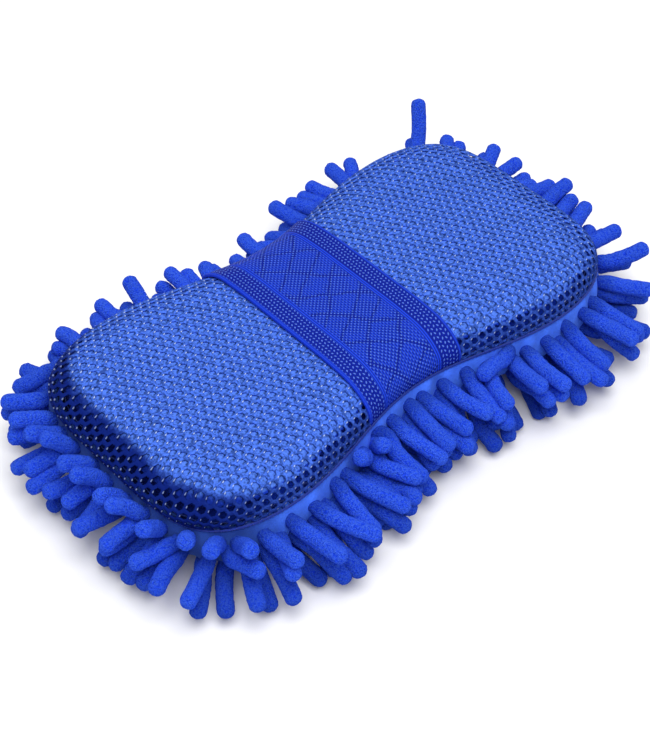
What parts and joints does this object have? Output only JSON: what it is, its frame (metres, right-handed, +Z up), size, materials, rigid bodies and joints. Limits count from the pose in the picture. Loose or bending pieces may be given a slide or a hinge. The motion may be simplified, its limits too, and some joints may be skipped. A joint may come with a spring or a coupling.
{
  "type": "wash pad",
  "caption": "Waisted foam wash pad with a net top, microfibre chenille fingers round its sides and under it, and an elastic hand strap that lifts over a hand.",
  "frame": {"origin": "on the surface the pad lies on, below the middle of the pad", "axes": "+X along the pad's long side, -Y towards its front side, +Z up through the net and the hand strap"},
  "size_m": [0.2756, 0.1674, 0.0505],
  "materials": {
    "foam": "open-cell foam, matte",
    "net": "knitted mesh, slight sheen",
    "cloth": "short-pile microfibre, matte",
    "thread": "polyester thread",
    "chenille": "looped microfibre pile, matte",
    "strap": "woven elastic, ribbed with a dotted pattern"
  },
  "bodies": {
    "pad": {"foam_core": "foam", "net_cover": "net", "base_cloth": "cloth", "seam_allowance": "cloth", "seam_thread": "thread", "strap_side_front": "strap", "strap_side_rear": "strap", "strap_end_front": "strap", "strap_end_rear": "strap", "strap_tack_front": "thread", "strap_tack_rear": "thread", "chenille_upper_front": "chenille", "chenille_upper_rear": "chenille", "chenille_upper_left": "chenille", "chenille_upper_right": "chenille", "chenille_lower_front": "chenille", "chenille_lower_rear": "chenille", "chenille_lower_left": "chenille", "chenille_lower_right": "chenille", "chenille_edge_front": "chenille", "chenille_edge_rear": "chenille", "chenille_edge_left": "chenille", "chenille_edge_right": "chenille", "chenille_base_left_1": "chenille", "chenille_base_left_2": "chenille", "chenille_base_left_3": "chenille", "chenille_base_left_4": "chenille", "chenille_base_left_5": "chenille", "chenille_base_right_1": "chenille", "chenille_base_right_2": "chenille", "chenille_base_right_3": "chenille", "chenille_base_right_4": "chenille", "chenille_base_right_5": "chenille"},
    "strap": {"strap_band": "strap"}
  },
  "joints": [
    {"name": "strap_lift", "type": "slide", "parent": "pad", "child": "strap", "axis": [0, 0, 1], "range_m": [0, 0.03], "stiffness_N_per_m": 150, "deforming": ["strap_side_front", "strap_side_rear"]}
  ]
}
